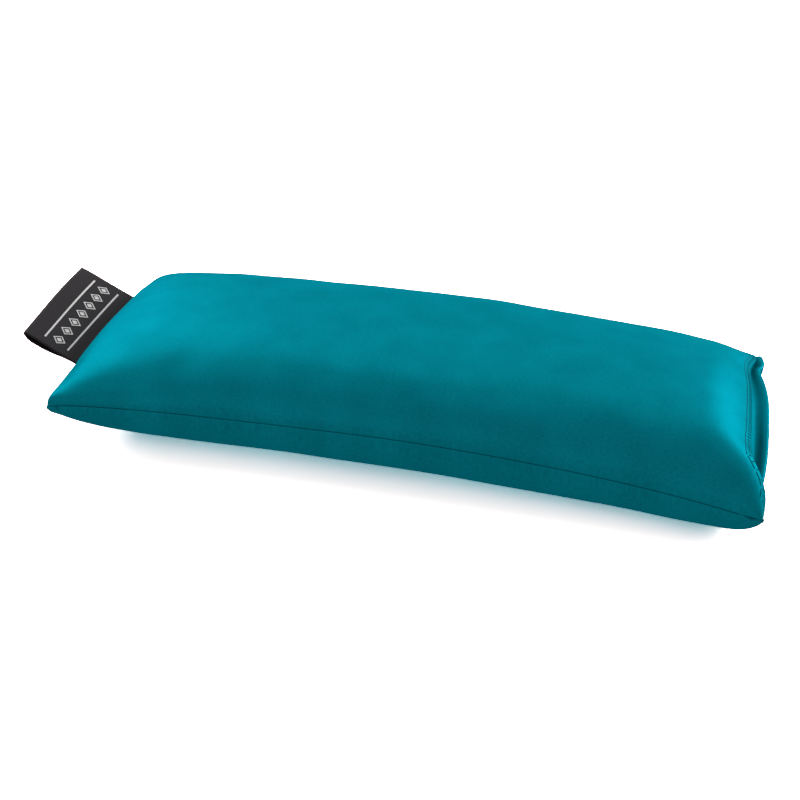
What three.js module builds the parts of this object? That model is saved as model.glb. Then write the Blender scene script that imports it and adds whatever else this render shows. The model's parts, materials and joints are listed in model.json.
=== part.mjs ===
// Small bolster pillow: a satin envelope cover over a sewn inner bag filled with seeds.
// Units are millimetres. +X runs from the closed end to the open end (the mouth), +Z is up, and the
// origin is the middle of the flat patch that the pillow rests on.

import * as THREE from 'three';

// ---- Driving dimensions ----

const LENGTH = 241;              // closed-end seam to the folded edge at the mouth
const WIDTH = 100;               // across the corners
const WAIST = 0.12;              // share of that width which the filling draws in at mid-length
const HEIGHT = 38.5;             // top of the crown above the base
const SEAM_HEIGHT = 20;          // seam above the base, half-way along each edge
const CLOSED_CORNER_HEIGHT = 18.5;
const MOUTH_CORNER_HEIGHT = 13;
const CROWN = { end: [4.3, 2.1], side: [3, 2] };     // power and root of the fall to the seams
const BASE = { end: [13, 2], side: [6.6, 2] };
const RESTING = { end: 0.8, side: 0.6 };             // flat middle of the base, as shares of the way out
const NEARLY_FLAT = 0.99;                            // of the base just outside that

const COVER_CLOTH = 0.7;         // satin, with its loft
const BAG_CLOTH = 0.6;           // cotton of the inner bag
const CLEARANCE = 0.35;          // between one piece and the next
const FILL_CLEARANCE = 0.6;      // between the filling and its bag, over the crown and under the base
const FILL_SHORTER = 4.5;        // the filling stays this far from the bag's seams
const SEAM_GAP = 0.4;            // between the two panels that a seam joins

const HEM_SETBACK = 5;           // stitched edge of the top panel, back from the mouth's folded edge
const HEM_EASE = 0.45;           // share of that which is lost at the mouth's corners
const FLAP_LENGTH = 60;          // how far the bottom panel is tucked in under the top panel
const BAG_SHORTER = 5;           // bag edge, in from the cover's seam line
const THREAD_RADIUS = 0.3;
const THREAD_INSET = 2.6;        // seam threads, in from the cover's seam line
const HEM_ROWS = [0.8, 2.4];     // the two rows of hem stitching, back from the hem's edge
const CLOSING_RUN = 30;          // half-length of the hand-closed run in the bag's end seam
const THREAD_REACH = { side: 0.96, closed: 0.93, hem: 0.9, flap: 0.85 };     // sewn share of each edge

const LABEL_WIDTH = 51;
const LABEL_LENGTH = 24;         // from the seam to the fold
const LABEL_CLOTH = 0.5;
const LABEL_LOOP = 1.5;          // half of the way between its two plies, next to the fold
const LABEL_PINCH = 0.5;         // and at the seam
const LABEL_TILT = THREE.MathUtils.degToRad(28);

const LONG_STEPS = 28;           // facets along and across each panel
const CROSS_STEPS = 12;

const satin = { color: '#04808f', roughness: 0.42, metalness: 0 };
const cotton = { color: '#d9d3c4', roughness: 0.9, metalness: 0 };
const coverThread = { color: '#046b78', roughness: 0.6, metalness: 0 };
const bagThread = { color: '#ece8dc', roughness: 0.7, metalness: 0 };
const ribbon = { color: '#232024', roughness: 0.55, metalness: 0 };
const seeds = { color: '#7a5632', roughness: 0.8, metalness: 0 };

// ---- The pillow's form ----
// u runs -1 to 1 from the closed end to the mouth, and v runs -1 to 1 from the near side to the far side.

// Crown height from 1 in the middle to 0 at the seam.
const fall = (r, power, root) => Math.max(0, 1 - Math.abs(r) ** power) ** (1 / root);

// Even steps in t, from -1 to 1, turned into steps that crowd towards both seams.
const crowd = (t) => Math.sign(t) * Math.sin(Math.abs(t) * Math.PI / 2) ** 0.8;

const halfWidth = (u) => WIDTH / 2 * (1 - WAIST * (1 - u ** 4));

// The seam sags from the middle of each edge to the corners, first gently and then evenly.
function seamHeight(u, v) {
  const corner = THREE.MathUtils.lerp(CLOSED_CORNER_HEIGHT, MOUTH_CORNER_HEIGHT, (u + 1) / 2);
  const soft = 0.2;
  const sag = (Math.hypot(u * v, soft) - soft) / (Math.hypot(1, soft) - soft);
  return THREE.MathUtils.lerp(SEAM_HEIGHT, corner, sag);
}

// A layer is how far a surface lies inside the cover's outer face, at the seams and at the crown.
const layer = (end, side, crown) => ({ end, side, crown });
const deeper = (base, depth) => layer(base.end + depth, base.side + depth, base.crown + depth);

function plan(u, v, at) {
  return [(LENGTH / 2 - at.end) * u, (halfWidth(u) - at.side) * v];
}

function onTop(u, v, at) {
  const crown = (HEIGHT - SEAM_HEIGHT - at.crown) * fall(u, ...CROWN.end) * fall(v, ...CROWN.side);
  return new THREE.Vector3(...plan(u, v, at), seamHeight(u, v) + SEAM_GAP / 2 + crown);
}

// The weight of the filling presses a rectangle in the middle of the base quite flat.
function onBottom(u, v, at) {
  const rests = Math.abs(u) < RESTING.end && Math.abs(v) < RESTING.side;
  const pressed = rests ? 1 : NEARLY_FLAT * fall(u, ...BASE.end) * fall(v, ...BASE.side);
  const edge = seamHeight(u, v) - SEAM_GAP / 2;
  return new THREE.Vector3(...plan(u, v, at), THREE.MathUtils.lerp(edge, at.crown, pressed));
}

const coverOut = layer(0, 0, 0);
const coverIn = deeper(coverOut, COVER_CLOTH);
const flapOut = deeper(coverIn, CLEARANCE);
const flapIn = deeper(flapOut, COVER_CLOTH);
const bagDepth = flapIn.crown + CLEARANCE + 0.1;
const bagTopOut = layer(BAG_SHORTER, BAG_SHORTER, bagDepth);
const bagBottomOut = layer(BAG_SHORTER, BAG_SHORTER, COVER_CLOTH + CLEARANCE);
const bagTopIn = deeper(bagTopOut, BAG_CLOTH);
const bagBottomIn = deeper(bagBottomOut, BAG_CLOTH);

// ---- Mesh building ----

// Closed skin between two surfaces, each a function of s and t from -1 to 1.
function slab(front, back, sSteps, tSteps) {
  const points = [];
  const columns = tSteps + 1;
  const count = (sSteps + 1) * columns;
  for (const surface of [front, back]) {
    for (let i = 0; i <= sSteps; i++) {
      for (let j = 0; j <= tSteps; j++) {
        points.push(surface(2 * i / sSteps - 1, 2 * j / tSteps - 1));
      }
    }
  }
  const faces = [];
  const quad = (a, b, c, d) => faces.push(a, b, c, a, c, d);
  const at = (i, j) => i * columns + j;
  for (let i = 0; i < sSteps; i++) {
    for (let j = 0; j < tSteps; j++) {
      quad(at(i, j), at(i + 1, j), at(i + 1, j + 1), at(i, j + 1));
      quad(count + at(i, j), count + at(i, j + 1), count + at(i + 1, j + 1), count + at(i + 1, j));
    }
  }
  const rim = [];
  for (let i = 0; i < sSteps; i++) rim.push(at(i, 0));
  for (let j = 0; j < tSteps; j++) rim.push(at(sSteps, j));
  for (let i = sSteps; i > 0; i--) rim.push(at(i, tSteps));
  for (let j = tSteps; j > 0; j--) rim.push(at(0, j));
  rim.forEach((a, k) => {
    const b = rim[(k + 1) % rim.length];
    quad(b, a, count + a, count + b);
  });
  return outward(points, faces);
}

// Geometry whose faces all point out of the body.
function outward(points, faces) {
  const cross = new THREE.Vector3();
  let volume = 0;
  for (let k = 0; k < faces.length; k += 3) {
    const [a, b, c] = faces.slice(k, k + 3).map((n) => points[n]);
    volume += a.dot(cross.crossVectors(b, c));
  }
  if (volume < 0) faces.reverse();
  const geometry = new THREE.BufferGeometry().setFromPoints(points);
  geometry.setIndex(faces);
  return geometry;
}

class Route extends THREE.Curve {
  constructor(pointAt) {
    super();
    this.pointAt = pointAt;
  }

  getPoint(t) {
    return this.pointAt(t);
  }
}

// Sewing thread that follows pointAt(t), t from 0 to 1.
function thread(pointAt, steps) {
  const section = new THREE.Shape().absarc(0, 0, THREAD_RADIUS, 0, 2 * Math.PI);
  return new THREE.ExtrudeGeometry(section, {
    steps, curveSegments: 3, bevelEnabled: false, extrudePath: new Route(pointAt),
  });
}

function piece(name, geometry, finish) {
  const mesh = new THREE.Mesh(geometry, new THREE.MeshStandardMaterial(finish));
  mesh.name = name;
  return mesh;
}

// ---- The cover ----

const hemU = (v) => 1 - 2 / LENGTH * HEM_SETBACK * (1 - HEM_EASE * Math.abs(v) ** 3);

function topPanel() {
  const surface = (at) => (s, t) => {
    const v = crowd(t);
    const u = crowd(s);
    return onTop(u > 0 ? u * hemU(v) : u, v, at);
  };
  return slab(surface(coverOut), surface(coverIn), LONG_STEPS, CROSS_STEPS);
}

// One piece of cloth: it lies under the bag, rolls up over the mouth's edge, and its end is tucked
// back in under the top panel as a flap.
function bottomPanel() {
  const flapSteps = LONG_STEPS / 2;
  const steps = LONG_STEPS + flapSteps;
  const turn = 2 * LONG_STEPS / steps - 1;
  const flapEnd = 1 - 2 * FLAP_LENGTH / LENGTH;
  const surface = (under, tucked) => (s, t) => {
    const v = crowd(t);
    if (s <= turn + 1e-9) return onBottom(crowd(2 * (s + 1) / (turn + 1) - 1), v, under);
    const back = (s - turn) / (1 - turn);
    return onTop(1 - (1 - flapEnd) * back ** 2, v, tucked);
  };
  return slab(surface(coverOut, flapOut), surface(coverIn, flapIn), steps, CROSS_STEPS);
}

function sideSeamThread(side) {
  const at = layer(THREAD_INSET, THREAD_INSET, 0);
  return thread((t) => {
    const u = THREAD_REACH.side * (2 * t - 1);
    const [x, y] = plan(u, side, at);
    return new THREE.Vector3(x, y, seamHeight(u, side));
  }, 34);
}

function closedSeamThread() {
  const at = layer(THREAD_INSET, THREAD_INSET, 0);
  return thread((t) => {
    const v = THREAD_REACH.closed * (2 * t - 1);
    const [x, y] = plan(-1, v, at);
    return new THREE.Vector3(x, y, seamHeight(-1, v));
  }, 16);
}

// Two rows of stitching lie on the top panel, next to its hemmed edge.
function hemThread(setback) {
  const rise = COVER_CLOTH / 2 + THREAD_RADIUS;
  return thread((t) => {
    const v = THREAD_REACH.hem * (2 * t - 1);
    return onTop(hemU(v) - 2 * setback / LENGTH, v, layer(0, -rise, -rise));
  }, 24);
}

function flapHemThread() {
  const middle = deeper(flapOut, COVER_CLOTH / 2);
  const gap = THREAD_RADIUS + CLEARANCE;
  const u = 1 - 2 * (FLAP_LENGTH + gap) / LENGTH;
  return thread((t) => onTop(u, THREAD_REACH.flap * (2 * t - 1), middle), 20);
}

// ---- The label ----

// A ribbon folded in two, both ends caught in the closed-end seam. The outline is its edge seen from
// the side, with the seam at 0 and the fold at LABEL_LENGTH.
function labelLoop() {
  const outline = (offset) => {
    const points = [];
    const reach = LABEL_LENGTH - LABEL_LOOP - LABEL_CLOTH / 2;
    for (let k = 0; k <= 8; k++) {
      const opening = THREE.MathUtils.smoothstep(k, 1, 8);
      points.push([reach * k / 8, THREE.MathUtils.lerp(LABEL_PINCH, LABEL_LOOP, opening) + offset]);
    }
    for (let k = 1; k < 6; k++) {
      const angle = Math.PI / 2 * (1 - k / 6);
      const radius = LABEL_LOOP + offset;
      points.push([reach + radius * Math.cos(angle), radius * Math.sin(angle)]);
    }
    return points;
  };
  const half = LABEL_CLOTH / 2;
  const mirrored = (points) => points.map(([x, y]) => [x, -y]).reverse();
  const outer = outline(half);
  const inner = outline(-half);
  const tip = LABEL_LENGTH - half;
  const edge = [
    ...outer, [tip + half, 0], ...mirrored(outer),
    ...mirrored(inner).reverse(), [tip - half, 0], ...inner.reverse(),
  ];
  const shape = new THREE.Shape(edge.map(([x, y]) => new THREE.Vector2(-x, y)));
  const geometry = new THREE.ExtrudeGeometry(shape, { depth: LABEL_WIDTH, bevelEnabled: false });
  return geometry.rotateX(Math.PI / 2).translate(0, LABEL_WIDTH / 2, 0);
}

// ---- The inner bag ----

function panelOf(surface, out, inner) {
  const on = (at) => (s, t) => surface(crowd(s), crowd(t), at);
  return slab(on(out), on(inner), LONG_STEPS - 6, CROSS_STEPS - 2);
}

function seedFill() {
  const inside = (at) => layer(at.end + FILL_SHORTER, at.side + FILL_SHORTER, at.crown + FILL_CLEARANCE);
  const top = inside(bagTopIn);
  const bottom = inside(bagBottomIn);
  const on = (surface, at) => (s, t) => surface(crowd(s), crowd(t), at);
  return slab(on(onTop, top), on(onBottom, bottom), LONG_STEPS - 6, CROSS_STEPS - 2);
}

// The bag's threads run just inside the edges of its two panels.
const bagThreadInset = BAG_SHORTER + BAG_CLOTH + CLEARANCE + THREAD_RADIUS;
const closingV = CLOSING_RUN / (WIDTH / 2 - bagThreadInset);

function bagEdgePoint(u, v) {
  const [x, y] = plan(u, v, layer(bagThreadInset, bagThreadInset, 0));
  return new THREE.Vector3(x, y, seamHeight(u, v));
}

// The bag is sewn all round, except for the run at the mouth end through which it is filled.
function bagSeamThread() {
  const alongSide = (v) => [0.96, 0.8, 0.5, 0.2, -0.2, -0.5, -0.8, -0.96].map((u) => bagEdgePoint(u, v));
  const across = (u, places) => places.map((v) => bagEdgePoint(u, v));
  const corner = (u, v) => bagEdgePoint(0.991 * u, 0.98 * v);
  const start = closingV + 0.04;
  const route = new THREE.CatmullRomCurve3([
    ...across(1, [-start, -0.93]), corner(1, -1), ...alongSide(-1), corner(-1, -1),
    ...across(-1, [-0.93, -0.8, 0, 0.8, 0.93]), corner(-1, 1), ...alongSide(1).reverse(), corner(1, 1),
    ...across(1, [0.93, start]),
  ], false, 'centripetal');
  return thread((t) => route.getPoint(t), 100);
}

function bagClosingThread() {
  return thread((t) => bagEdgePoint(1, closingV * (2 * t - 1)), 10);
}

// ---- Assembly ----

const bolster = new THREE.Group();

const cover = new THREE.Group();
cover.add(
  piece('cover_top_panel', topPanel(), satin),
  piece('cover_bottom_panel', bottomPanel(), satin),
  piece('cover_near_seam_thread', sideSeamThread(-1), coverThread),
  piece('cover_far_seam_thread', sideSeamThread(1), coverThread),
  piece('cover_closed_seam_thread', closedSeamThread(), coverThread),
  piece('mouth_hem_thread_outer', hemThread(HEM_ROWS[0]), coverThread),
  piece('mouth_hem_thread_inner', hemThread(HEM_ROWS[1]), coverThread),
  piece('flap_hem_thread', flapHemThread(), coverThread),
);

const label = piece('label_loop', labelLoop(), ribbon);
label.position.set(-LENGTH / 2 - CLEARANCE, 0, SEAM_HEIGHT);
label.rotation.y = LABEL_TILT;

const bag = new THREE.Group();
bag.add(
  piece('bag_top_panel', panelOf(onTop, bagTopOut, bagTopIn), cotton),
  piece('bag_bottom_panel', panelOf(onBottom, bagBottomOut, bagBottomIn), cotton),
  piece('bag_seam_thread', bagSeamThread(), bagThread),
  piece('bag_closing_thread', bagClosingThread(), bagThread),
  piece('seed_fill', seedFill(), seeds),
);

bolster.add(cover, label, bag);

export default bolster;
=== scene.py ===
"""A small flat bolster pillow: a satin envelope cover with a woven label, around a cotton bag of seeds.

Every length is in metres. +X runs from the closed end to the mouth, and +Z is up. On each panel u runs
from -1 at the closed end to 1 at the mouth, and v from -1 at the near side to 1 at the far side.
"""

import json
from math import cos, pi, radians, sin

import bpy
import numpy as np
from mathutils import Matrix, Vector


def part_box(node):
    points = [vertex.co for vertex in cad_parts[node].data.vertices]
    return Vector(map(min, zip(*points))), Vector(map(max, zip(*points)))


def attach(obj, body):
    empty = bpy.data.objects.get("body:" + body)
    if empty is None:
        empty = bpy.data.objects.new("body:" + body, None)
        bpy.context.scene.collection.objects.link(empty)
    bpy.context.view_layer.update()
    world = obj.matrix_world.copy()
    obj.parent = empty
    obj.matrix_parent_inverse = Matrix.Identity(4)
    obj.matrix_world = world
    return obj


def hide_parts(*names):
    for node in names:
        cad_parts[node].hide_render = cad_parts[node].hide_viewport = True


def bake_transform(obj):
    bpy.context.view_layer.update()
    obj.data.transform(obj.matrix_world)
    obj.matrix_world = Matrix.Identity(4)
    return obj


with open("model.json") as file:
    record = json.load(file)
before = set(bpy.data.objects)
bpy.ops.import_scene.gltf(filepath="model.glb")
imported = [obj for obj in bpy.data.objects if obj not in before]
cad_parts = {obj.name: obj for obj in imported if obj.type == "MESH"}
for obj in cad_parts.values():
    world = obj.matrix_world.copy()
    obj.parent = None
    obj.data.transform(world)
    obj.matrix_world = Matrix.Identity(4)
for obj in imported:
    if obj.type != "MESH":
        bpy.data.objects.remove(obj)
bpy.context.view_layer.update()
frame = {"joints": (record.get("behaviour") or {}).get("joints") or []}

# ---- Sizes ----

MM = 0.001

LOW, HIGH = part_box("cover_bottom_panel")
LABEL_LOW, LABEL_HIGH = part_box("label_loop")
LABEL_HINGE = next(j for j in frame["joints"] if j["name"] == "label_swing")["pos_m"]

LENGTH = HIGH.x - LOW.x
WIDTH = HIGH.y - LOW.y
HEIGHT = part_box("cover_top_panel")[1].z
WAIST = 0.12                        # share of the width that the filling draws in at mid-length
SEAM_HEIGHT = LABEL_HINGE[2]        # half-way along each edge
CLOSED_CORNER_HEIGHT = 18.5 * MM
MOUTH_CORNER_HEIGHT = 13 * MM

CLOTH = 0.45 * MM                   # satin
COTTON = 0.5 * MM
ROLL = 0.55 * MM                    # how far a seam's folded edge rounds into the groove
SEAM_GAP = 0.06 * MM                # half of the gap between two sewn panels
ALLOWANCE = 3.2 * MM                # cloth beyond the seam, turned inside
CORNER_DROOP = 1.3 * MM             # seam's last few millimetres at the near closed corner
FAR_CORNER_DROOP = 3.2 * MM         # and its longer fall at the far one
CLOSED_BLUNT = 0.3 * MM             # how far a closed corner is rounded off, along both edges
MOUTH_BLUNT = 0.9 * MM              # and a corner at the mouth

# How close to a corner each thing keeps, as powers of u and v: a higher power keeps closer.
DROOP_REACH = (30, 12)
FAR_DROOP_REACH = (12, 6)
BLUNT_REACH = (24, 9)
FULLNESS_REACH = (16, 7)

# The crown's fall towards the seams. A higher power keeps it level for longer, and a lower root lets it
# fall more gently. Where a name ends in a place, the number is added there.
END_POWER = 4.3
END_POWER_NEAR_MOUTH = 7.7
END_POWER_FAR_CLOSED = -0.5
END_ROOT = 2.1
END_ROOT_NEAR_CLOSED = -0.45
SIDE_POWER = 3
SIDE_POWER_NEAR = 0.8
SIDE_ROOT = 2
SIDE_ROOT_NEAR_CLOSED = -0.3

# Beyond these shares of u and v the underside isn't pressed flat. Inside them it becomes so over the blend.
REST_END = 0.92
REST_SIDE = 0.75
REST_BLEND = 0.15
UNDER_REACH = 0.99                  # share of the way down that it reaches by itself
UNDER_POWER_CLOSED = 8
UNDER_POWER_MOUTH = 20
UNDER_SIDE_POWER = 6.6
UNDER_SIDE_POWER_MOUTH = 3

HEM_SETBACK = 5.9 * MM              # hem's edge in mid-width, back from the mouth's folded end
HEM_NEAR_SETBACK = 0.1 * MM         # and at its near end
HEM_FAR_SETBACK = 3.4 * MM          # and at its far end
HEM_DEPTH = 4.5 * MM
HEM_FOLD = 0.45 * MM                # radius of the hem's folded edge
MOUTH_DROP = 9.5 * MM               # how far the top panel would sink by the mouth's very end
ROLL_START = 0.81                   # where it begins to sink, as a share of the way to that end
LIP_RISE = 4.0 * MM                 # lip above the seam, in mid-width
EAR_RISE = 0.9 * MM                 # folded cloth that stands up in the far corner
NOTCH = 1.9 * MM                    # how far the mouth's edge draws in between the lip and the ears
NOTCH_PLACE = 0.72                  # and where it does so most, on both sides, as a share of v
CORNER_FULLNESS = 3.6 * MM          # how far folded-in cloth puffs up the near closed corner
FAR_SLUMP = 2.0 * MM                # crown lost at the far mouth corner; at the far closed one, half
FLAP_LENGTH = 60 * MM
FLAP_DEPTH = 1.5 * MM               # flap below the top panel's outer face
BEHIND_FLAP = 0.9                   # extra room at the mouth end, as a share of a layer's inset

LABEL_HALF = (LABEL_HIGH.y - LABEL_LOW.y) / 2
LABEL_GAP = 0.5 * MM                # half of the seam's gap where the label passes through it
LABEL_LENGTH = 23.4 * MM            # from the seam to the fold
LABEL_TILT = radians(28)
LABEL_YAW = radians(3.5)            # it was sewn in slightly askew
LABEL_TAIL = 6 * MM                 # caught inside the seam
RIBBON = 0.4 * MM

BAG_INSET = HIGH.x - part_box("bag_top_panel")[1].x
BAG_TOP_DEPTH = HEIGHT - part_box("bag_top_panel")[1].z
BAG_BOTTOM_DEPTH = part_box("bag_bottom_panel")[0].z
FILL_LOW, FILL_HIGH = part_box("seed_fill")

THREAD = 0.12 * MM                  # radius of the cover's sewing thread
BAG_THREAD = 0.2 * MM
SEAM_STITCH = 2.6 * MM
HEM_STITCH = 1.75 * MM
HEM_ROWS = (0.8 * MM, 2.1 * MM)     # back from the hem's edge
HEM_REACH = 0.92                    # share of the width that the hem's stitches cover
FLAP_HEM_REACH = 0.85

LONG_STEPS = 220
CROSS_STEPS = 112
CUT = np.array([1.0, 1.25])         # the cloth's own size, as a share of its size in plan
CROWDING = 0.8                      # a lower power crowds the steps more towards the seams
DRAPE_CAP = {"top": 0.6 * MM, "bottom": 0.35 * MM}
INWARD_SHARE = 0.3                  # how much of the drape's inward movement is kept

TOP_LUMP = 0.22 * MM                # how far the seeds below swell the cloth
TOP_LUMP_SIZE = 46 * MM
TOP_SETTLE = 0.25 * MM              # taken off again, so that the swellings stay within the height
BOTTOM_LUMP = 0.1 * MM
BOTTOM_LUMP_SIZE = 34 * MM


# ---- The pillow's form ----

def lerp(a, b, t):
    return a + (b - a) * t


def smoothstep(t):
    t = np.clip(t, 0, 1)
    return t * t * (3 - 2 * t)


def ramp(r, start, over):
    """0 up to the start, then rising smoothly to 1 over the given distance."""
    return smoothstep((r - start) / over)


def at_corners(u, v, reach):
    """1 at a panel's four corners, and falling away from them."""
    return np.abs(u) ** reach[0] * np.abs(v) ** reach[1]


def fall(r, power, root):
    """Crown height from 1 in the middle to 0 at the seam."""
    return np.maximum(0, 1 - np.abs(r) ** power) ** (1 / root)


def crowd(t):
    """Even steps in t, from -1 to 1, turned into steps that crowd towards both seams."""
    return np.sign(t) * np.sin(np.abs(t) * pi / 2) ** CROWDING


def steps(count):
    return crowd(np.linspace(-1, 1, count + 1))


def half_width(u):
    return WIDTH / 2 * (1 - WAIST * (1 - u ** 4))


def seam_height(u, v):
    """The seam sags from the middle of each edge to the corners, first gently and then evenly."""
    corner = lerp(CLOSED_CORNER_HEIGHT, MOUTH_CORNER_HEIGHT, (u + 1) / 2)
    soft = 0.2
    sag = (np.hypot(u * v, soft) - soft) / (np.hypot(1, soft) - soft)
    near_droop = CORNER_DROOP * at_corners(u, v, DROOP_REACH)
    far_droop = FAR_CORNER_DROOP * at_corners(u, v, FAR_DROOP_REACH)
    droop = np.where(v < 0, near_droop, far_droop) * (u < 0)
    return lerp(SEAM_HEIGHT, corner, sag) - droop


def plan(u, v, inset=0.0):
    """Place from above. What lies inside the cover ends further back at the mouth, behind the flap."""
    blunt = np.where(u < 0, CLOSED_BLUNT, MOUTH_BLUNT) * at_corners(u, v, BLUNT_REACH)
    back = BEHIND_FLAP * inset * np.maximum(u, 0) ** 6
    x = (LENGTH / 2 - inset) * u - np.sign(u) * blunt - back
    y = (half_width(u) - inset) * v - np.sign(v) * blunt
    return x, y


def mouth_roll(u, v):
    """How far the top panel rolls down towards its hem, more and more steeply."""
    share = np.clip((u - ROLL_START) / (1 - ROLL_START), 0, 1)
    return MOUTH_DROP * share ** 2 * (1 - v ** 2) * ramp(v, start=-0.8, over=0.3)


def far_slump(u, v):
    """The filling lies a little lower towards the two far corners."""
    towards_ends = smoothstep(1.2 * u) + 0.5 * ramp(-u, start=0.6, over=0.3)
    return FAR_SLUMP * towards_ends * ramp(v, start=-0.2, over=1)


def corner_fullness(u, v):
    """The seam allowances bunch up in the near closed corner, and keep it blunt and thick."""
    at_corner = at_corners(u, v, FULLNESS_REACH) * (u < 0) * (v < 0)
    return CORNER_FULLNESS * at_corner * fall(u, 200, 2) * fall(v, 90, 2)


def lip_place(v):
    """v, moved so that it is 0 where the lip stands out most, on the near side of mid-width."""
    return v + 0.17 * (1 - v ** 2)


def notch(u, v):
    """How far the mouth's end draws in from the middle of its lip, and comes out again at the ears."""
    drawn = np.clip(np.abs(lip_place(v)) / NOTCH_PLACE, 0, 1) ** 3
    back_out = 1 - ramp(np.abs(v), start=NOTCH_PLACE, over=0.14)
    return NOTCH * drawn * back_out * np.maximum(u, 0) ** 30


def seam_gap(u, v):
    """Half of the gap between the panels: wider in the closed end, where the label passes through."""
    beside = 0.05
    at_end = ramp(-u, start=0.96, over=0.03)
    at_label = smoothstep((LABEL_HALF / half_width(u) + beside - np.abs(v)) / beside)
    return SEAM_GAP + (LABEL_GAP - SEAM_GAP) * at_end * at_label


def top_points(u, v, depth=0.0, inset=None):
    """Points on the upper side, depth below its outer face. With an inset, both its ends are sewn."""
    near = smoothstep(-1.1 * v)
    far = smoothstep(1.1 * v)
    off_end = ramp(u, start=-1, over=0.4)
    end_power = END_POWER + np.where(u > 0, END_POWER_NEAR_MOUTH * near, END_POWER_FAR_CLOSED * far)
    end_root = END_ROOT + END_ROOT_NEAR_CLOSED * near * (u < 0)
    side_power = SIDE_POWER + SIDE_POWER_NEAR * near * off_end
    side_root = SIDE_ROOT + SIDE_ROOT_NEAR_CLOSED * near * (1 - off_end)
    bulge = fall(u, end_power, end_root) * fall(v, side_power, side_root)
    base = seam_height(u, v) + (seam_gap(u, v) + ROLL) * (1 - bulge)
    crown = (HEIGHT - SEAM_HEIGHT - depth - far_slump(u, v)) * bulge
    roll = mouth_roll(u, v) * (1 if inset is None else bulge)
    x, y = plan(u, v, depth if inset is None else inset)
    return np.stack([x, y, base + crown + corner_fullness(u, v) - roll], -1)


def bottom_points(u, v, depth=0.0, inset=None):
    """Points on the underside. The filling presses its middle quite flat."""
    rests = smoothstep((1 - np.maximum(np.abs(u) / REST_END, np.abs(v) / REST_SIDE)) / REST_BLEND)
    end_power = np.where(u < 0, UNDER_POWER_CLOSED, UNDER_POWER_MOUTH)
    side_power = UNDER_SIDE_POWER + UNDER_SIDE_POWER_MOUTH * smoothstep(1.5 * u)
    lifted = UNDER_REACH * fall(u, end_power, 2) * fall(v, side_power, 2)
    pressed = lerp(lifted, 1, rests)
    edge = seam_height(u, v) - seam_gap(u, v) - ROLL
    x, y = plan(u, v, depth if inset is None else inset)
    height = lerp(edge - 0.4 * corner_fullness(u, v), depth, pressed)
    return np.stack([x - notch(u, v), y, height], -1)


def unit(vectors):
    return vectors / np.maximum(np.linalg.norm(vectors, axis=-1, keepdims=True), 1e-12)


def normals_of(surface, u, v):
    """Normals of surface(u, v), on the side of +Z where it lies level."""
    step = 1e-4
    u, v = np.clip(u, -1 + 2 * step, 1 - 2 * step), np.clip(v, -1 + 2 * step, 1 - 2 * step)
    along = surface(u + step, v) - surface(u - step, v)
    across = surface(u, v + step) - surface(u, v - step)
    return unit(np.cross(along, across))


def lumps(x, y, size, seed):
    """Soft random swelling, about -1 to 1, with bumps about size across."""
    random = np.random.default_rng(seed)
    total = np.zeros_like(x)
    waves = 14
    for _ in range(waves):
        angle, phase = random.uniform(0, 2 * pi, 2)
        pitch = 2 * pi / size * random.uniform(0.5, 1.3)
        total += np.sin(pitch * (x * cos(angle) + y * sin(angle)) + phase)
    return total / np.sqrt(waves)


def clear_of_edges(points, u, v, margin=9 * MM):
    """1 inside a panel, falling to 0 at its seams over the margin, measured on the cloth."""
    level = np.minimum((1 - np.abs(u)) * LENGTH, (1 - np.abs(v)) * WIDTH) / 2
    away = np.hypot(level, points[..., 2] - seam_height(u, v)) - ROLL
    return smoothstep(away / margin)


def top_face(u, v, lift=0.0):
    """The upper side's outer face as the filling and the tension of the cloth leave it."""
    points = top_points(u, v)
    lump = TOP_LUMP * lumps(points[..., 0], points[..., 1], TOP_LUMP_SIZE, seed=3)
    swell = lump + DRAPE["top"](u, v) - TOP_SETTLE
    moved = swell * clear_of_edges(points, u, v) + lift
    return points + normals_of(top_points, u, v) * moved[..., None]


def bottom_face(u, v):
    """The underside's outer face, kept above the ground."""
    points = bottom_points(u, v)
    lump = BOTTOM_LUMP * lumps(points[..., 0], points[..., 1], BOTTOM_LUMP_SIZE, seed=8)
    moved = (lump + DRAPE["bottom"](u, v)) * clear_of_edges(points, u, v)
    points = points - normals_of(bottom_points, u, v) * moved[..., None]
    points[..., 2] = np.maximum(points[..., 2], 0)
    return points


# ---- The cloth simulation ----

def no_drape(u, v):
    """Stands in until the simulation has run, or where it is skipped."""
    return np.zeros_like(u + v)


DRAPE = {"top": no_drape, "bottom": no_drape}


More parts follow.
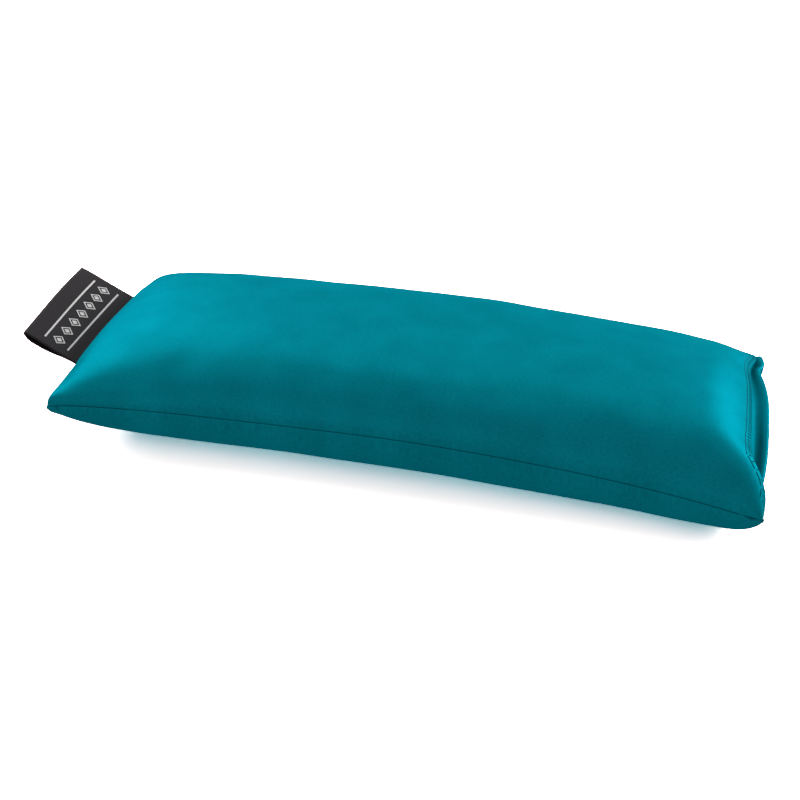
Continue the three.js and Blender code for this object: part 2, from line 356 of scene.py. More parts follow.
def simulate_cover():
    """Inflates a coarse copy of the cover, held at its seams, and keeps how far each place moved out."""
    rows, columns = 97, 45
    u, v = np.meshgrid(steps(rows - 1), steps(columns - 1), indexing="ij")
    top, bottom = top_points(u, v), bottom_points(u, v)
    seam = np.zeros((rows, columns), bool)
    seam[[0, -1]] = True
    seam[:, [0, -1]] = True
    top[seam] = bottom[seam] = (top[seam] + bottom[seam]) / 2
    above = np.arange(rows * columns).reshape(rows, columns)
    below = above + rows * columns
    below[~seam] = rows * columns + np.arange(np.sum(~seam))
    below[seam] = above[seam]
    points = np.concatenate([top.reshape(-1, 3), bottom[~seam]])
    faces = np.concatenate([strip_faces(above), strip_faces(below)[:, ::-1]])

    mesh = bpy.data.meshes.new("cloth_trial")
    mesh.from_pydata(points.tolist(), [], faces.tolist())
    trial = bpy.data.objects.new("cloth_trial", mesh)
    bpy.context.scene.collection.objects.link(trial)
    held = trial.vertex_groups.new(name="held")
    held.add([int(n) for n in above[seam]], 1.0, "REPLACE")
    rests = (np.abs(u) < 0.78) & (np.abs(v) < 0.55)
    held.add([int(n) for n in below[rests]], 1.0, "REPLACE")

    cloth = trial.modifiers.new("cloth", "CLOTH").settings
    cloth.vertex_group_mass = "held"
    cloth.quality = 6
    cloth.mass = 0.2
    cloth.tension_stiffness = cloth.compression_stiffness = 12
    cloth.shear_stiffness = 6
    cloth.bending_stiffness = 0.05
    cloth.shrink_min = cloth.shrink_max = -0.012
    cloth.use_pressure = True
    cloth.uniform_pressure_force = 4
    cloth.effector_weights.gravity = 0
    scene = bpy.context.scene
    frames = 20
    for frame_number in range(1, frames + 1):
        scene.frame_set(frame_number)
    settled = trial.evaluated_get(bpy.context.evaluated_depsgraph_get())
    moved = np.array([vertex.co for vertex in settled.data.vertices]) - points
    bpy.data.objects.remove(trial)
    scene.frame_set(1)

    panels = (("top", top_points, above, 1), ("bottom", bottom_points, below, -1))
    for name, surface, numbers, rise in panels:
        outward = np.sum(moved[numbers] * normals_of(surface, u, v), -1) * rise
        cap = DRAPE_CAP[name]
        outward = np.where(outward < 0, INWARD_SHARE, 1.0) * cap * np.tanh(outward / cap)
        outward[seam] = 0
        DRAPE[name] = sampler(soften(outward, times=6))


def soften(field, times):
    """Averages a field with its neighbours, leaving its rim as it is."""
    for _ in range(times):
        inner = field[1:-1, 1:-1]
        around_it = field[:-2, 1:-1] + field[2:, 1:-1] + field[1:-1, :-2] + field[1:-1, 2:]
        field = field.copy()
        field[1:-1, 1:-1] = (inner * 4 + around_it) / 8
    return field


def sampler(field):
    """A function of u and v that reads a field kept on crowded steps."""
    rows, columns = field.shape

    def read(u, v):
        places = []
        for r, count in ((u, rows), (v, columns)):
            even = np.sign(r) * np.arcsin(np.clip(np.abs(r), 0, 1) ** (1 / CROWDING)) * 2 / pi
            places.append(np.clip((even + 1) / 2 * (count - 1), 0, count - 1.001))
        i, j = places[0].astype(int), places[1].astype(int)
        a, b = places[0] - i, places[1] - j
        low = lerp(field[i, j], field[i + 1, j], a)
        high = lerp(field[i, j + 1], field[i + 1, j + 1], a)
        return lerp(low, high, b)

    return read


# ---- Mesh building ----

def strip_faces(rows):
    """Quads between successive rows of vertex numbers."""
    rows = np.asarray(rows)
    quads = [rows[:-1, :-1], rows[1:, :-1], rows[1:, 1:], rows[:-1, 1:]]
    return np.stack(quads, -1).reshape(-1, 4)


class Patchwork:
    """Grids of cloth points gathered into one mesh, with the cloth's own coordinates in metres."""

    def __init__(self):
        self.points, self.flat, self.faces, self.count = [], [], [], 0

    def add(self, points, flat):
        """Adds points and gives their vertex numbers, in the same arrangement."""
        shape = points.shape[:-1]
        size = int(np.prod(shape))
        self.points.append(points.reshape(-1, 3))
        self.flat.append(np.broadcast_to(flat, (*shape, 2)).reshape(-1, 2))
        numbers = np.arange(self.count, self.count + size).reshape(shape)
        self.count += size
        return numbers

    def join(self, rows, flip=False):
        quads = strip_faces(rows)
        self.faces += (quads[:, ::-1] if flip else quads).tolist()

    def make(self, name, thickness=0.0):
        """The mesh as an object, thickened towards its inner side."""
        flat = np.concatenate(self.flat)
        mesh = bpy.data.meshes.new(name)
        mesh.from_pydata(np.concatenate(self.points).tolist(), [], self.faces)
        corners = np.concatenate([np.array(face) for face in self.faces])
        uv = mesh.uv_layers.new(name="cloth")
        uv.data.foreach_set("uv", flat[corners].astype(np.float32).ravel())
        obj = bpy.data.objects.new(name, mesh)
        bpy.context.scene.collection.objects.link(obj)
        if thickness:
            shell = obj.modifiers.new("cloth", "SOLIDIFY")
            shell.thickness = thickness
            shell.offset = -1
            apply_modifiers(obj)
        smooth(obj)
        return obj


def tube(patch, path, radius, sides=8, twist=0.0):
    """Adds a closed strand along a path. With a twist, in metres a turn, it shows two plies."""
    path = np.asarray(path)
    along = unit(np.gradient(path, axis=0))
    side = np.cross(along[0], [0.0, 0.0, 1.0])
    if np.linalg.norm(side) < 0.1:
        side = np.cross(along[0], [0.0, 1.0, 0.0])
    sides_on = []
    for direction in along:
        side = unit(side - direction * np.dot(side, direction))
        sides_on.append(side)
    side = np.array(sides_on)
    up = np.cross(along, side)
    travelled = np.concatenate([[0], np.cumsum(np.linalg.norm(np.diff(path, axis=0), axis=1))])
    angles = np.linspace(0, 2 * pi, sides, endpoint=False)
    width = np.full((len(path), sides), radius)
    if twist:
        turned = 2 * pi * travelled[:, None] / twist
        width = width * (0.86 + 0.14 * np.cos(2 * (angles - turned)))
    ring = side[:, None] * np.cos(angles)[:, None] + up[:, None] * np.sin(angles)[:, None]
    points = path[:, None] + ring * width[..., None]
    flat = np.stack(np.broadcast_arrays(travelled[:, None], angles * radius), -1)
    numbers = patch.add(points, flat)
    patch.join(np.concatenate([numbers, numbers[:, :1]], 1))
    patch.faces += [numbers[0].tolist(), numbers[-1, ::-1].tolist()]


def apply_modifiers(obj):
    evaluated = obj.evaluated_get(bpy.context.evaluated_depsgraph_get())
    mesh = bpy.data.meshes.new_from_object(evaluated)
    obj.modifiers.clear()
    obj.data = mesh


def smooth(obj):
    obj.data.polygons.foreach_set("use_smooth", [True] * len(obj.data.polygons))
    obj.data.update()


def seam_fold(edge, inner, flat_edge, rise, levels=7):
    """Rows of cloth that round over a sewn edge and run inside as its allowance.

    edge and inner are the panel's last two rows of points, and rise is +1 for the upper panel."""
    outward = edge - inner
    level = outward * [1, 1, 0]
    along = np.gradient(edge, axis=0) * [1, 1, 0]
    side = unit(np.cross(along, [0.0, 0.0, 1.0]))
    side *= np.sign(np.sum(side * level, -1, keepdims=True) + 1e-12)
    descent = np.arctan2(-rise * outward[:, 2], np.maximum(np.sum(outward * side, -1), 1e-9))
    descent = np.clip(descent, 0.15, pi / 2)
    radius = ROLL / (1 + np.cos(descent))
    up = np.array([0, 0, rise], float)
    rows, flats = [], []
    for k in range(1, levels + 1):
        angle = descent + (pi - descent) * k / levels
        reach = radius * (np.sin(angle) - np.sin(descent))
        sink = radius * (np.cos(descent) - np.cos(angle))
        rows.append(edge + side * reach[:, None] - up * sink[:, None])
        flats.append(flat_edge + side[:, :2] * (radius * (angle - descent))[:, None])
    for run in (0.3, 0.65, 1.0):
        rows.append(rows[levels - 1] - side * ALLOWANCE * run)
        flats.append(flats[levels - 1] + side[:, :2] * ALLOWANCE * run)
    return np.array(rows), np.array(flats)


def around(grid):
    """A grid's rim as one row: along the near side to the closed end, across, and along the far side."""
    near = grid[::-1, 0]
    end = grid[0, 1:-1]
    far = grid[:, -1]
    return np.concatenate([near, end, far])


def around_inner(grid):
    """The points one step inside those of around()."""
    rows, columns = grid.shape[0], grid.shape[1]
    near = grid[np.maximum(np.arange(rows)[::-1], 1), 1]
    end = grid[1, 1:-1]
    far = grid[np.maximum(np.arange(rows), 1), columns - 2]
    return np.concatenate([near, end, far])


def add_seam(patch, numbers, points, flat, rise):
    """The fold along a panel's two sides and its closed end."""
    rows, flats = seam_fold(around(points), around_inner(points), around(flat), rise)
    ring = patch.add(rows, flats)
    patch.join(np.concatenate([around(numbers)[None], ring]), flip=rise > 0)


# ---- The cover ----

def hem_u(v):
    """Where the hem's edge runs."""
    near_setback = lerp(HEM_SETBACK, HEM_NEAR_SETBACK, ramp(-v, start=0.69, over=0.18))
    far_setback = lerp(HEM_SETBACK, HEM_FAR_SETBACK, ramp(v, start=0.6, over=0.3))
    return 1 - 2 / LENGTH * np.where(v < 0, near_setback, far_setback)


def top_grid(long_steps, cross_steps):
    s, v = np.meshgrid(steps(long_steps), steps(cross_steps), indexing="ij")
    u = np.where(s > 0, s * hem_u(v), s)
    return u, v


def cover_top_panel():
    u, v = top_grid(LONG_STEPS, CROSS_STEPS)
    points = top_face(u, v)
    flat = points[..., :2] * CUT
    patch = Patchwork()
    numbers = patch.add(points, flat)
    patch.join(numbers)
    add_seam(patch, numbers, points, flat, rise=1)

    normals = normals_of(top_points, u, v)
    edge, normal = points[-1], normals[-1]
    outward = unit(points[-1] - points[-2])
    rows = []
    turns = 6
    for k in range(1, turns + 1):
        angle = pi * k / turns
        rows.append(edge + outward * HEM_FOLD * sin(angle) - normal * HEM_FOLD * (1 - cos(angle)))
    for back in np.linspace(0.1, 1, 10) * HEM_DEPTH:
        under = hem_u(v[-1]) - 2 * back / LENGTH
        rows.append(top_face(under, v[-1], lift=-2 * HEM_FOLD * np.ones_like(under)))
    rows = np.array(rows)
    fold = patch.add(rows, rows[..., :2] * CUT)
    patch.join(np.concatenate([numbers[-1][None], fold]))
    return patch.make("satin_top_panel", CLOTH)


def b_spline(knots, samples):
    """Rows along a uniform cubic B-spline, from its second knot to its last but one."""
    knots = np.asarray(knots)
    out = []
    for t in np.linspace(0, len(knots) - 3, samples + 1):
        k = min(int(t), len(knots) - 4)
        f = t - k
        weights = [
            (1 - f) ** 3,
            3 * f ** 3 - 6 * f ** 2 + 4,
            -3 * f ** 3 + 3 * f ** 2 + 3 * f + 1,
            f ** 3,
        ]
        out.append(sum(w * knots[k + n] for n, w in enumerate(weights)) / 6)
    return np.array(out)


def lip_rows(v, samples):
    """The bottom panel's cloth past the mouth's end: up over the lip, down into the mouth, and in."""
    start = bottom_points(np.ones_like(v), v)
    rise = lerp(0.8 * MM, LIP_RISE, fall(np.clip(lip_place(v) / 0.84, -1, 1), 2, 1.4))
    rise += EAR_RISE * ramp(v, start=0.78, over=0.12)
    middle = fall(v, 3, 2)
    out = np.zeros_like(start) + [1.0, 0, 0]
    up = np.zeros_like(start) + [0, 0, 1.0]

    def place(reach, height):
        """Points so many millimetres out past the mouth's end, at a height above it."""
        return start + out * (reach * MM * np.ones_like(v))[:, None] + up * height[:, None]

    knots = [
        place(0, -rise / 3),
        place(0, 0 * rise),
        place(0, rise / 3),
        place(0.2, rise * 0.95),
        place(-0.7, rise + ROLL),
        place(-1.9, rise + ROLL * 0.2),
        place(-3.0, rise - 1.2 * MM * middle),
        place(-4.8, rise - 1.5 * MM * middle),
    ]
    # In millimetres behind the mouth's end. The last one only ends the curve.
    flap_places = (8.5, 13, 20, 28, 36, 44, 52, FLAP_LENGTH / MM, 64)
    for inner in flap_places:
        u = np.full_like(v, 1 - 2 * inner * MM / LENGTH)
        knots.append(top_points(u, v, depth=FLAP_DEPTH))
    return b_spline(knots, samples)


def cover_bottom_panel():
    u, v = np.meshgrid(steps(LONG_STEPS), steps(CROSS_STEPS), indexing="ij")
    points = bottom_face(u, v)
    flat = points[..., :2] * CUT
    patch = Patchwork()
    numbers = patch.add(points, flat)
    patch.join(numbers, flip=True)
    add_seam(patch, numbers, points, flat, rise=-1)

    lip = lip_rows(steps(CROSS_STEPS), 96)[1:]
    travelled = np.cumsum(np.linalg.norm(np.diff(lip, axis=0, prepend=points[-1][None]), axis=-1), 0)
    lip_flat = np.stack([LENGTH / 2 + travelled, lip[..., 1] * CUT[1]], -1)
    ring = patch.add(lip, lip_flat)
    patch.join(np.concatenate([numbers[-1][None], ring]), flip=True)
    return patch.make("satin_bottom_panel", CLOTH)


# ---- Sewing ----

def seam_stitches(name, route, pitch, depth, radius):
    """A seam's thread, weaving up and down through the two edges that it joins.

    route is a fine line of points along the seam."""
    lengths = np.linalg.norm(np.diff(route, axis=0), axis=1)
    travelled = np.concatenate([[0], np.cumsum(lengths)])
    count = max(3, round(travelled[-1] / pitch))
    samples = np.linspace(0, travelled[-1], count * 10 + 1)
    path = np.stack([np.interp(samples, travelled, route[:, axis]) for axis in range(3)], -1)
    path[:, 2] += depth * np.cos(samples / travelled[-1] * count * 2 * pi)
    patch = Patchwork()
    tube(patch, path, radius, sides=7, twist=pitch / 2)
    return patch.make(name)


def seam_line(u, v, inset):
    x, y = plan(u, v, inset)
    return np.stack([x, y, seam_height(u, v)], -1)


def side_seam_thread(name, side):
    u = np.linspace(-0.985, 0.99, 400)
    route = seam_line(u, np.full_like(u, side), 0.7 * MM)
    return seam_stitches(name, route, SEAM_STITCH, 0.6 * MM, THREAD)


def closed_seam_thread():
    v = np.linspace(-0.96, 0.96, 200)
    route = seam_line(np.full_like(v, -1.0), v, 1.2 * MM)
    return seam_stitches("closed_seam_stitches", route, SEAM_STITCH, 0.9 * MM, THREAD)


def hem_line(v, back, lift):
    return top_face(hem_u(v) - 2 * back / LENGTH, v, lift)


def hem_ladder():
    """The outer row of the hem's stitching: short rungs that lie across its edge."""
    count = round(HEM_REACH * WIDTH / HEM_STITCH)
    inner, outer = HEM_ROWS[0] + 0.5 * MM, HEM_ROWS[0] - 0.6 * MM
    above, below = 0.5 * THREAD, -HEM_FOLD
    # One stitch, as its distance back from the edge, its height, and the share of the pitch gone by.
    stitch_shape = [
        (inner, below, 0.0),
        (inner, above, 0.06),
        (outer, above, 0.38),
        (outer, below, 0.44),
        (outer, below, 0.5),
        (inner, below, 0.94),
    ]
    backs, lifts, places = [], [], []
    for stitch in range(count):
        for back, lift, share in stitch_shape:
            backs.append(back)
            lifts.append(lift)
            places.append((stitch + share) / count)
    v = HEM_REACH * (2 * np.array(places) - 1)
    path = hem_line(v, np.array(backs), np.array(lifts))
    patch = Patchwork()
    tube(patch, path, THREAD, sides=6)
    return patch.make("hem_rung_stitches")


def running_stitches(name, line, count, lift, sink, radius, share=0.8):
    """A row of stitches that show for a share of their pitch, and dip through the cloth between."""
    per_stitch = 10
    t = np.linspace(0, 1, count * per_stitch + 1)
    phase = np.abs((t * count) % 1 - 0.5) * 2
    height = np.where(phase < share, lift, lerp(lift, -sink, (phase - share) / (1 - share)))
    patch = Patchwork()
    tube(patch, line(t, height), radius, sides=7, twist=0.9 * MM)
    return patch.make(name)


def hem_row():
    """The inner row of the hem's stitching."""
    def line(t, height):
        return hem_line(HEM_REACH * (2 * t - 1), HEM_ROWS[1], height)

    return running_stitches("hem_row_stitches", line, 28, 0.6 * THREAD, 0.6 * MM, THREAD)


def flap_row():
    """The row along the flap's free edge, inside the cover."""
    u = 1 - 2 * (FLAP_LENGTH - 2 * MM) / LENGTH

    def line(t, height):
        v = FLAP_HEM_REACH * (2 * t - 1)
        return top_points(np.full_like(v, u), v, depth=FLAP_DEPTH) + height[:, None] * [0, 0, 1]

    return running_stitches("flap_hem_stitches", line, 26, 0.6 * THREAD, 0.6 * MM, THREAD)


# ---- The label ----

def label_profile():
    """Points along the ribbon, seen from its edge: one tail, out to the fold, and back to the other tail.

    The seam is at 0, and the label stands out along -X, raised by its tilt."""
    fold = 1.4 * MM
    apart = 0.26 * MM
    upper_rise = 1.1 * MM
    lower_sag = 3.0 * MM
    reach = LABEL_LENGTH - fold
    out = np.linspace(-LABEL_TAIL, reach, 40)
    share = np.clip(out / reach, 0, 1)
    upper = apart + upper_rise * smoothstep(share) ** 1.2
    lower = -apart - lower_sag * smoothstep(share * 1.15) ** 1.1
    middle, half = (upper[-1] + lower[-1]) / 2, (upper[-1] - lower[-1]) / 2
    angles = np.linspace(pi / 2, -pi / 2, 18)[1:-1]
    nose = np.stack([reach + half * np.cos(angles), middle + half * np.sin(angles)], -1)
    top = np.stack([out, upper], -1)
    under = np.stack([out, lower], -1)[::-1]
    flat = np.concatenate([top, nose, under])
    bend = smoothstep(flat[:, 0] / (3 * MM) + 0.35)
    bent = np.where(flat[:, 0] > 0, 1, 0) * LABEL_TILT * bend
    x = -flat[:, 0] * np.cos(bent) - flat[:, 1] * np.sin(bent) * 0.9
    z = flat[:, 0] * np.sin(bent) + flat[:, 1] * np.cos(bent)
    return np.stack([x, np.zeros_like(x), z], -1)


def label_loop():
    profile = label_profile()
    profile += [LABEL_HINGE[0] + 0.6 * MM, 0, LABEL_HINGE[2]]
    travelled = np.concatenate([[0], np.cumsum(np.linalg.norm(np.diff(profile, axis=0), axis=1))])
    v = np.linspace(-1, 1, 61)
    out = np.clip((LABEL_HINGE[0] - profile[:, 0]) / LABEL_LENGTH, 0, 1)
    points = profile[:, None] + v[:, None] * [0, LABEL_HALF, 0]
    wave = 0.35 * MM * np.sin(2.3 * v + 0.6) - 0.5 * MM * v ** 2
    points[..., 2] += out[:, None] * wave
    points[..., 0] -= out[:, None] * v * LABEL_HALF * sin(LABEL_YAW)
    flat = np.stack(np.broadcast_arrays(v * LABEL_HALF, travelled[:, None]), -1)
    patch = Patchwork()
    patch.join(patch.add(points, flat), flip=True)
    return patch.make("ribbon_label", RIBBON)


# ---- The inner bag ----

def bag_panel(name, surface, depth, rise):
    u, v = np.meshgrid(steps(120), steps(60), indexing="ij")

    def face(a, b):
        return surface(a, b, depth=depth, inset=BAG_INSET)

    points = face(u, v)
    along_sides = np.abs(v) ** 14 * (1 - np.abs(u) ** 20)
    puckers = 0.25 * MM * np.sin(points[..., 0] / (1.1 * MM)) * along_sides
    swell = 0.2 * MM * lumps(points[..., 0], points[..., 1], 14 * MM, seed=11)
    swell = (swell - 0.1 * MM) * clear_of_edges(points, u, v) - puckers
    points = points + rise * normals_of(face, u, v) * swell[..., None]
    flat = points[..., :2] * CUT
    patch = Patchwork()
    numbers = patch.add(points, flat)
    patch.join(numbers, flip=rise < 0)
    add_seam(patch, numbers, points, flat, rise)
    add_end_seam(patch, numbers, points, flat, rise)
    return patch.make(name, COTTON)


def add_end_seam(patch, numbers, points, flat, rise):
    """The fold along a panel's mouth end."""
    rows, flats = seam_fold(points[-1], points[-2], flat[-1], rise)
    ring = patch.add(rows, flats)
    patch.join(np.concatenate([numbers[-1][None], ring]), flip=rise < 0)


def bag_edge(u, v):
    return seam_line(u, v, BAG_INSET + 0.9 * MM)


def closing_share():
    """Half of the hand-closed run, as a share of v."""
    return 30 * MM / (WIDTH / 2 - BAG_INSET)


def bag_seam_thread():
    """Round the bag from one end of the hand-closed run to the other."""
    v_start = closing_share() + 0.03
    sides = 0.985
    first = np.linspace(-v_start, -0.97, 30)
    near = np.linspace(0.99, -0.99, 300)
    end = np.linspace(-0.97, 0.97, 150)
    route = np.concatenate([
        bag_edge(np.full_like(first, 0.998), first),
        bag_edge(near, np.full_like(near, -sides)),
        bag_edge(np.full_like(end, -0.998), end),
        bag_edge(-near, np.full_like(near, sides)),
        bag_edge(np.full_like(first, 0.998), -first[::-1]),
    ])
    return seam_stitches("bag_seam_stitches", route, SEAM_STITCH, 0.6 * MM, BAG_THREAD)


def bag_closing_thread():
    """Whip stitches by hand: the thread winds round the two folded edges."""
    turns = 16
    t = np.linspace(0, 1, turns * 16 + 1)
    v = closing_share() * (2 * t - 1)
    path = seam_line(np.ones_like(v), v, BAG_INSET + 0.7 * MM)
    angle = 2 * pi * turns * t
    path += np.stack([1.0 * MM * np.cos(angle), np.zeros_like(t), 1.15 * MM * np.sin(angle)], -1)
    patch = Patchwork()
    tube(patch, path, BAG_THREAD, sides=8, twist=1.4 * MM)
    return patch.make("bag_closing_stitches")


def seed_filling():
    """The mass of seeds: one crowned body with a grainy surface."""
    u, v = np.meshgrid(steps(150), steps(76), indexing="ij")
    inset = HIGH.x - FILL_HIGH.x
    patch = Patchwork()
    rims = []
    halves = ((top_points, HEIGHT - FILL_HIGH.z, 1), (bottom_points, FILL_LOW.z, -1))
    for surface, depth, rise in halves:
        points = surface(u, v, depth=depth, inset=inset)

        def face(a, b):
            return surface(a, b, depth=depth, inset=inset)

        grain = lumps(points[..., 0], points[..., 1], 5 * MM, seed=17) * 0.2 * MM - 0.2 * MM
        grain *= clear_of_edges(points, u, v)
        points = points + rise * normals_of(face, u, v) * grain[..., None]
        numbers = patch.add(points, points[..., :2])
        patch.join(numbers, flip=rise < 0)
        rims.append(np.concatenate([around(numbers), numbers[-1, -2:0:-1], around(numbers)[:1]]))
    patch.join(np.array(rims), flip=True)
    return patch.make("seed_filling")


# ---- Materials ----

class Nodes:
    """A material's nodes, with short ways to add one and to link it."""

    def __init__(self, name):
        self.material = bpy.data.materials.new(name)
        self.material.use_nodes = True
        self.tree = self.material.node_tree
        self.shader = self.tree.nodes["Principled BSDF"]

    def add(self, kind, inputs=None, **settings):
        node = self.tree.nodes.new(kind)
        for key, value in settings.items():
            setattr(node, key, value)
        for key, value in (inputs or {}).items():
            if isinstance(value, bpy.types.NodeSocket):
                self.tree.links.new(value, node.inputs[key])
            else:
                node.inputs[key].default_value = value
        return node

    def math(self, operation, a, b=0.0):
        return self.add("ShaderNodeMath", {0: a, 1: b}, operation=operation).outputs[0]

    def cloth(self):
        """The place on the cloth, in metres."""
        return self.add("ShaderNodeUVMap", uv_map="cloth").outputs[0]

    def noise(self, vector, scale, detail=2.0):
        inputs = {"Vector": vector, "Scale": scale, "Detail": detail}
        return self.add("ShaderNodeTexNoise", inputs).outputs["Fac"]

    def streaks(self, vector, scale, detail=2.0):
        """Noise drawn out along the cloth, as fibres are."""
        stretched = self.add("ShaderNodeMapping", {"Vector": vector, "Scale": scale}).outputs[0]
        return self.noise(stretched, 1.0, detail)

    def waves(self, place, pitch):
        """Ridges along one coordinate, a pitch apart, from 0 to 1."""
        return self.math("ABSOLUTE", self.math("SINE", self.math("MULTIPLY", place, pi / pitch)))

    def bump(self, height, strength, distance):
        inputs = {"Strength": strength, "Distance": distance, "Height": height}
        self.link(self.add("ShaderNodeBump", inputs).outputs[0], "Normal")

    def mix(self, factor, low, high):
        """A colour between low and high, each a socket or a colour."""
        node = self.add("ShaderNodeMix", data_type="RGBA")
        self.tree.links.new(factor, node.inputs["Factor"])
        for socket in node.inputs:
            if socket.type != "RGBA":
                continue
            value = low if socket.name == "A" else high
            if isinstance(value, bpy.types.NodeSocket):
                self.tree.links.new(value, socket)
            else:
                socket.default_value = (*value, 1)
        return next(socket for socket in node.outputs if socket.type == "RGBA")

    def link(self, output, name):
        self.tree.links.new(output, self.shader.inputs[name])

    def set(self, **values):
        for name, value in values.items():
            self.shader.inputs[name.replace("_", " ")].default_value = value


def satin():
    """Warp-faced satin: long floats along the cloth, with a soft sheen."""
    made = Nodes("satin")
    cloth = made.cloth()
    weave = made.streaks(cloth, (900, 2600, 1), 3.0)
    drift = made.noise(cloth, 60.0, 3.0)
    shade = made.math("ADD", made.math("MULTIPLY", weave, 0.6), made.math("MULTIPLY", drift, 0.4))
    made.link(made.mix(shade, (0.000, 0.110, 0.148), (0.002, 0.340, 0.430)), "Base Color")
    made.link(made.math("ADD", made.math("MULTIPLY", weave, 0.16), 0.37), "Roughness")
    made.bump(weave, strength=0.32, distance=0.1 * MM)
    made.set(Metallic=0.28, Specular_IOR_Level=0.0, Specular_Tint=(0.0, 0.55, 0.7, 1))
    return made.material


def sewing_thread(name, low, high):
    made = Nodes(name)
    fibres = made.streaks(made.cloth(), (4000, 14000, 1))
    made.link(made.mix(fibres, low, high), "Base Color")
    made.bump(fibres, strength=0.4, distance=0.05 * MM)
    made.set(Roughness=0.6, Specular_IOR_Level=0.05)
    return made.material


def plain_weave(made, cloth, pitch):
    """Height of a plain weave: over and under by turns."""
    split = made.add("ShaderNodeSeparateXYZ", {0: cloth})
    waves = [made.math("SINE", made.math("MULTIPLY", split.outputs[axis], pi / pitch)) for axis in (0, 1)]
    return made.math("ABSOLUTE", made.math("MULTIPLY", *waves))


def cotton():
    made = Nodes("cotton")
    cloth = made.cloth()
    weave = plain_weave(made, cloth, 0.45 * MM)
    slubs = made.streaks(cloth, (120, 900, 1))
    shade = made.math("ADD", made.math("MULTIPLY", weave, 0.5), made.math("MULTIPLY", slubs, 0.5))
    made.link(made.mix(shade, (0.50, 0.46, 0.37), (0.74, 0.70, 0.61)), "Base Color")
    made.bump(weave, strength=0.5, distance=0.2 * MM)
    made.set(Roughness=0.85, Specular_IOR_Level=0.25, Sheen_Weight=0.2)
    return made.material


def seed_husks():
    made = Nodes("seeds")
    place = made.add("ShaderNodeTexCoord").outputs["Object"]
    cells = made.add("ShaderNodeTexVoronoi", {"Vector": place, "Scale": 420.0}).outputs
    # Brown seeds, lighter in each seed's middle and darker towards its rim: painted shade in the gaps
    # between seeds.
    made.link(made.mix(cells["Distance"], (0.30, 0.17, 0.08), (0.08, 0.04, 0.02)), "Base Color")
    rounded = made.math("SUBTRACT", 1.0, cells["Distance"])
    made.bump(rounded, strength=0.8, distance=MM)
    made.set(Roughness=0.45, Specular_IOR_Level=0.4)
    return made.material


def woven_ribbon():
    """Black ribbed ribbon with a plain woven border: two fine lines, and a row of lozenges between."""
    made = Nodes("ribbon")
    split = made.add("ShaderNodeSeparateXYZ", {0: made.cloth()})
    across, along = split.outputs[0], split.outputs[1]
    ribs = made.math("MULTIPLY", made.waves(along, 0.34 * MM), 0.7)
    warp = made.math("MULTIPLY", made.waves(across, 0.22 * MM), 0.3)
    weave = made.math("ADD", ribs, warp)
    ground = made.mix(weave, (0.004, 0.003, 0.004), (0.016, 0.012, 0.015))

    def from_line(place):
        return made.math("ABSOLUTE", made.math("SUBTRACT", along, place))

    def within(distance, reach):
        return made.math("LESS_THAN", distance, reach)

    def either(a, b):
        return made.math("MAXIMUM", a, b)

    def line_at(place):
        return within(from_line(place), 0.35 * MM)

    middle = LABEL_TAIL + 0.5 * LABEL_LENGTH
    line_offset = 5.0 * MM
    step = 6.4 * MM
    lozenge = made.math("PINGPONG", across, step / 2)
    slanted = made.math("ADD", made.math("MULTIPLY", from_line(middle), 0.9), lozenge)
    from_outline = made.math("ABSOLUTE", made.math("SUBTRACT", slanted, 2.1 * MM))
    lozenges = either(within(slanted, 1.1 * MM), within(from_outline, 0.3 * MM))
    lines = either(line_at(middle - line_offset), line_at(middle + line_offset))
    inside = within(made.math("ABSOLUTE", across), 3.4 * step)
    figure = made.math("MULTIPLY", either(lozenges, lines), inside)
    made.link(made.mix(figure, ground, (0.62, 0.60, 0.60)), "Base Color")
    raised = made.math("ADD", weave, made.math("MULTIPLY", figure, 0.8))
    made.bump(raised, strength=0.45, distance=0.1 * MM)
    made.set(Roughness=0.6, Specular_IOR_Level=0.2, Sheen_Weight=0.05)
    return made.material


def dress(obj, material, body, node):
    """Gives a piece its material and its body, and hides the part that it stands for.

    The label goes on no body: its placing is only baked into its mesh."""
    obj.data.materials.clear()
    obj.data.materials.append(material)
    if body == "label":
        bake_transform(obj)
    else:
        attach(obj, body)
    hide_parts(node)
    return obj


# ---- The stage ----

FLOOR_WHITE = (3.8, 3.2, 3.1)       # over 1, as on a floor lit up until it washes out
SKY = 0.39
STAGE_REACH = 3.0
STAGE_SIDES = 64


def backdrop(name, points, faces, material):
    """Something that only the camera sees, so that it throws no light back onto the pillow."""
    mesh = bpy.data.meshes.new(name)
    mesh.from_pydata(points, [], faces)
    mesh.materials.append(material)
    obj = bpy.data.objects.new(name, mesh)
    bpy.context.scene.collection.objects.link(obj)
    obj.visible_diffuse = False
    obj.visible_glossy = False
    return obj


def stage():
    chalk = Nodes("chalk")
    dull = chalk.add("ShaderNodeBsdfDiffuse", {"Color": (*FLOOR_WHITE, 1)})
    chalk.tree.links.new(dull.outputs[0], chalk.tree.nodes["Material Output"].inputs["Surface"])
    drop = -0.05 * MM
    sides = STAGE_SIDES
    angles = np.linspace(0, 2 * pi, sides, endpoint=False)
    ring = [(STAGE_REACH * cos(angle), STAGE_REACH * sin(angle)) for angle in angles]
    backdrop("floor", [(x, y, drop) for x, y in ring], [list(range(sides))], chalk.material)
    wall_points = [(x, y, z) for z in (drop, 2 * STAGE_REACH) for x, y in ring]
    wall_faces = [(k, (k + 1) % sides, (k + 1) % sides + sides, k + sides) for k in range(sides)]
    backdrop("wall", wall_points, wall_faces, chalk.material).visible_shadow = False

    world = bpy.data.worlds.new("studio")
    world.use_nodes = True
    world.node_tree.nodes["Background"].inputs["Color"].default_value = (1, 1, 1, 1)
    world.node_tree.nodes["Background"].inputs["Strength"].default_value = SKY
    bpy.context.scene.world = world


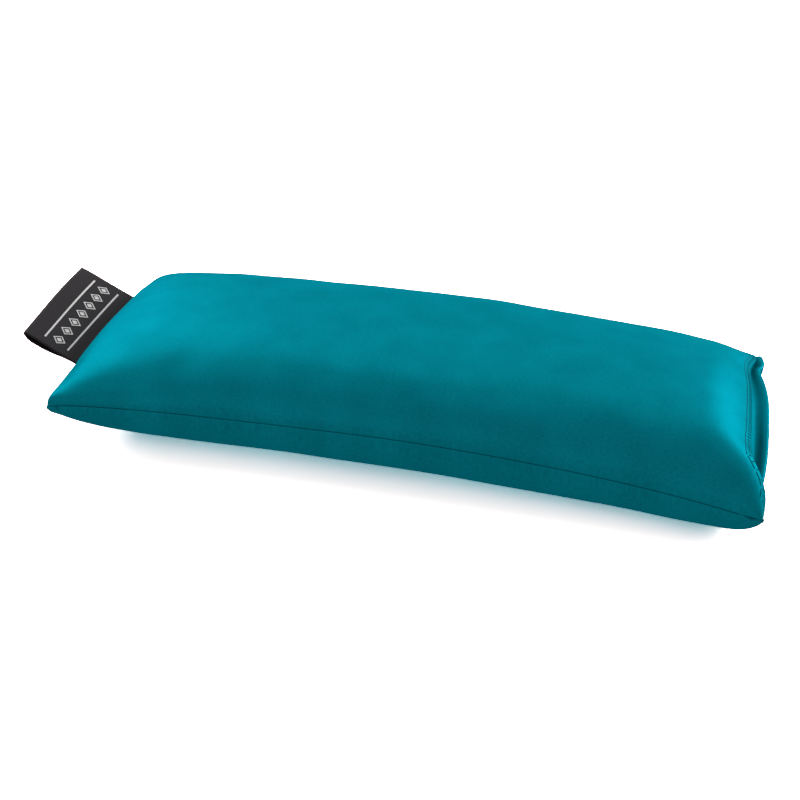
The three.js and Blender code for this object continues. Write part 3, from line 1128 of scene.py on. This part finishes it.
def soft_light(name, place, size, power):
    lamp = bpy.data.lights.new(name, "AREA")
    lamp.shape = "RECTANGLE"
    lamp.size, lamp.size_y = size
    lamp.energy = power
    light = bpy.data.objects.new(name, lamp)
    light.location = place
    light.rotation_euler = (-Vector(place)).to_track_quat("-Z", "Y").to_euler()
    bpy.context.scene.collection.objects.link(light)


def camera():
    """A viewpoint above the near side, turned a little towards the mouth."""
    azimuth, elevation, roll = radians(14.145), radians(33.207), radians(0.19)
    distance = 0.4285
    aim = Vector((-0.0054, -0.0072, 0.0113))
    away = Vector((sin(azimuth) * cos(elevation), -cos(azimuth) * cos(elevation), sin(elevation)))
    data = bpy.data.cameras.new("camera")
    data.lens = 54.01
    data.sensor_width = 36
    made = bpy.data.objects.new("camera", data)
    level = away.to_track_quat("Z", "Y").to_matrix().to_4x4()
    place = Matrix.Translation(aim + away * distance)
    made.matrix_world = place @ level @ Matrix.Rotation(-roll, 4, "Z")
    bpy.context.scene.collection.objects.link(made)
    bpy.context.scene.camera = made


# ---- Putting it together ----

simulate_cover()

SATIN = satin()
# The cover's thread is teal like the satin, and darker than it as painted shade: the shadows between the
# stitches.
COVER_THREAD = sewing_thread("cover_thread", (0.000, 0.06, 0.08), (0.001, 0.14, 0.18))
satin_top = dress(cover_top_panel(), SATIN, "cover", "cover_top_panel")
satin_bottom = dress(cover_bottom_panel(), SATIN, "cover", "cover_bottom_panel")
threads = (
    (side_seam_thread("near_seam_stitches", -1), "cover_near_seam_thread"),
    (side_seam_thread("far_seam_stitches", 1), "cover_far_seam_thread"),
    (closed_seam_thread(), "cover_closed_seam_thread"),
    (hem_ladder(), "mouth_hem_thread_outer"),
    (hem_row(), "mouth_hem_thread_inner"),
)
stitches = [dress(thread, COVER_THREAD, "cover", node) for thread, node in threads]
flap_stitches = dress(flap_row(), COVER_THREAD, "cover", "flap_hem_thread")
ribbon = dress(label_loop(), woven_ribbon(), "label", "label_loop")

COTTON_CLOTH = cotton()
BAG_SEWING = sewing_thread("bag_thread", (0.52, 0.49, 0.42), (0.82, 0.79, 0.72))
cotton_top = bag_panel("cotton_top_panel", top_points, BAG_TOP_DEPTH, 1)
dress(cotton_top, COTTON_CLOTH, "bag", "bag_top_panel")
cotton_bottom = bag_panel("cotton_bottom_panel", bottom_points, BAG_BOTTOM_DEPTH, -1)
dress(cotton_bottom, COTTON_CLOTH, "bag", "bag_bottom_panel")
bag_stitches = [
    dress(bag_seam_thread(), BAG_SEWING, "bag", "bag_seam_thread"),
    dress(bag_closing_thread(), BAG_SEWING, "bag", "bag_closing_thread"),
]
seeds = dress(seed_filling(), seed_husks(), "bag", "seed_fill")

camera()
stage()
soft_light("left", (-0.75, 0.4, 0.42), (0.9, 0.6), 8)
soft_light("right", (0.72, 0.55, 0.34), (0.8, 0.5), 9)
soft_light("above", (-0.2, 0.6, 1.1), (1.2, 0.8), 1.7)
soft_light("front", (-0.45, -0.85, 0.25), (1.2, 0.5), 1.1)
bpy.context.scene.view_settings.view_transform = "Standard"
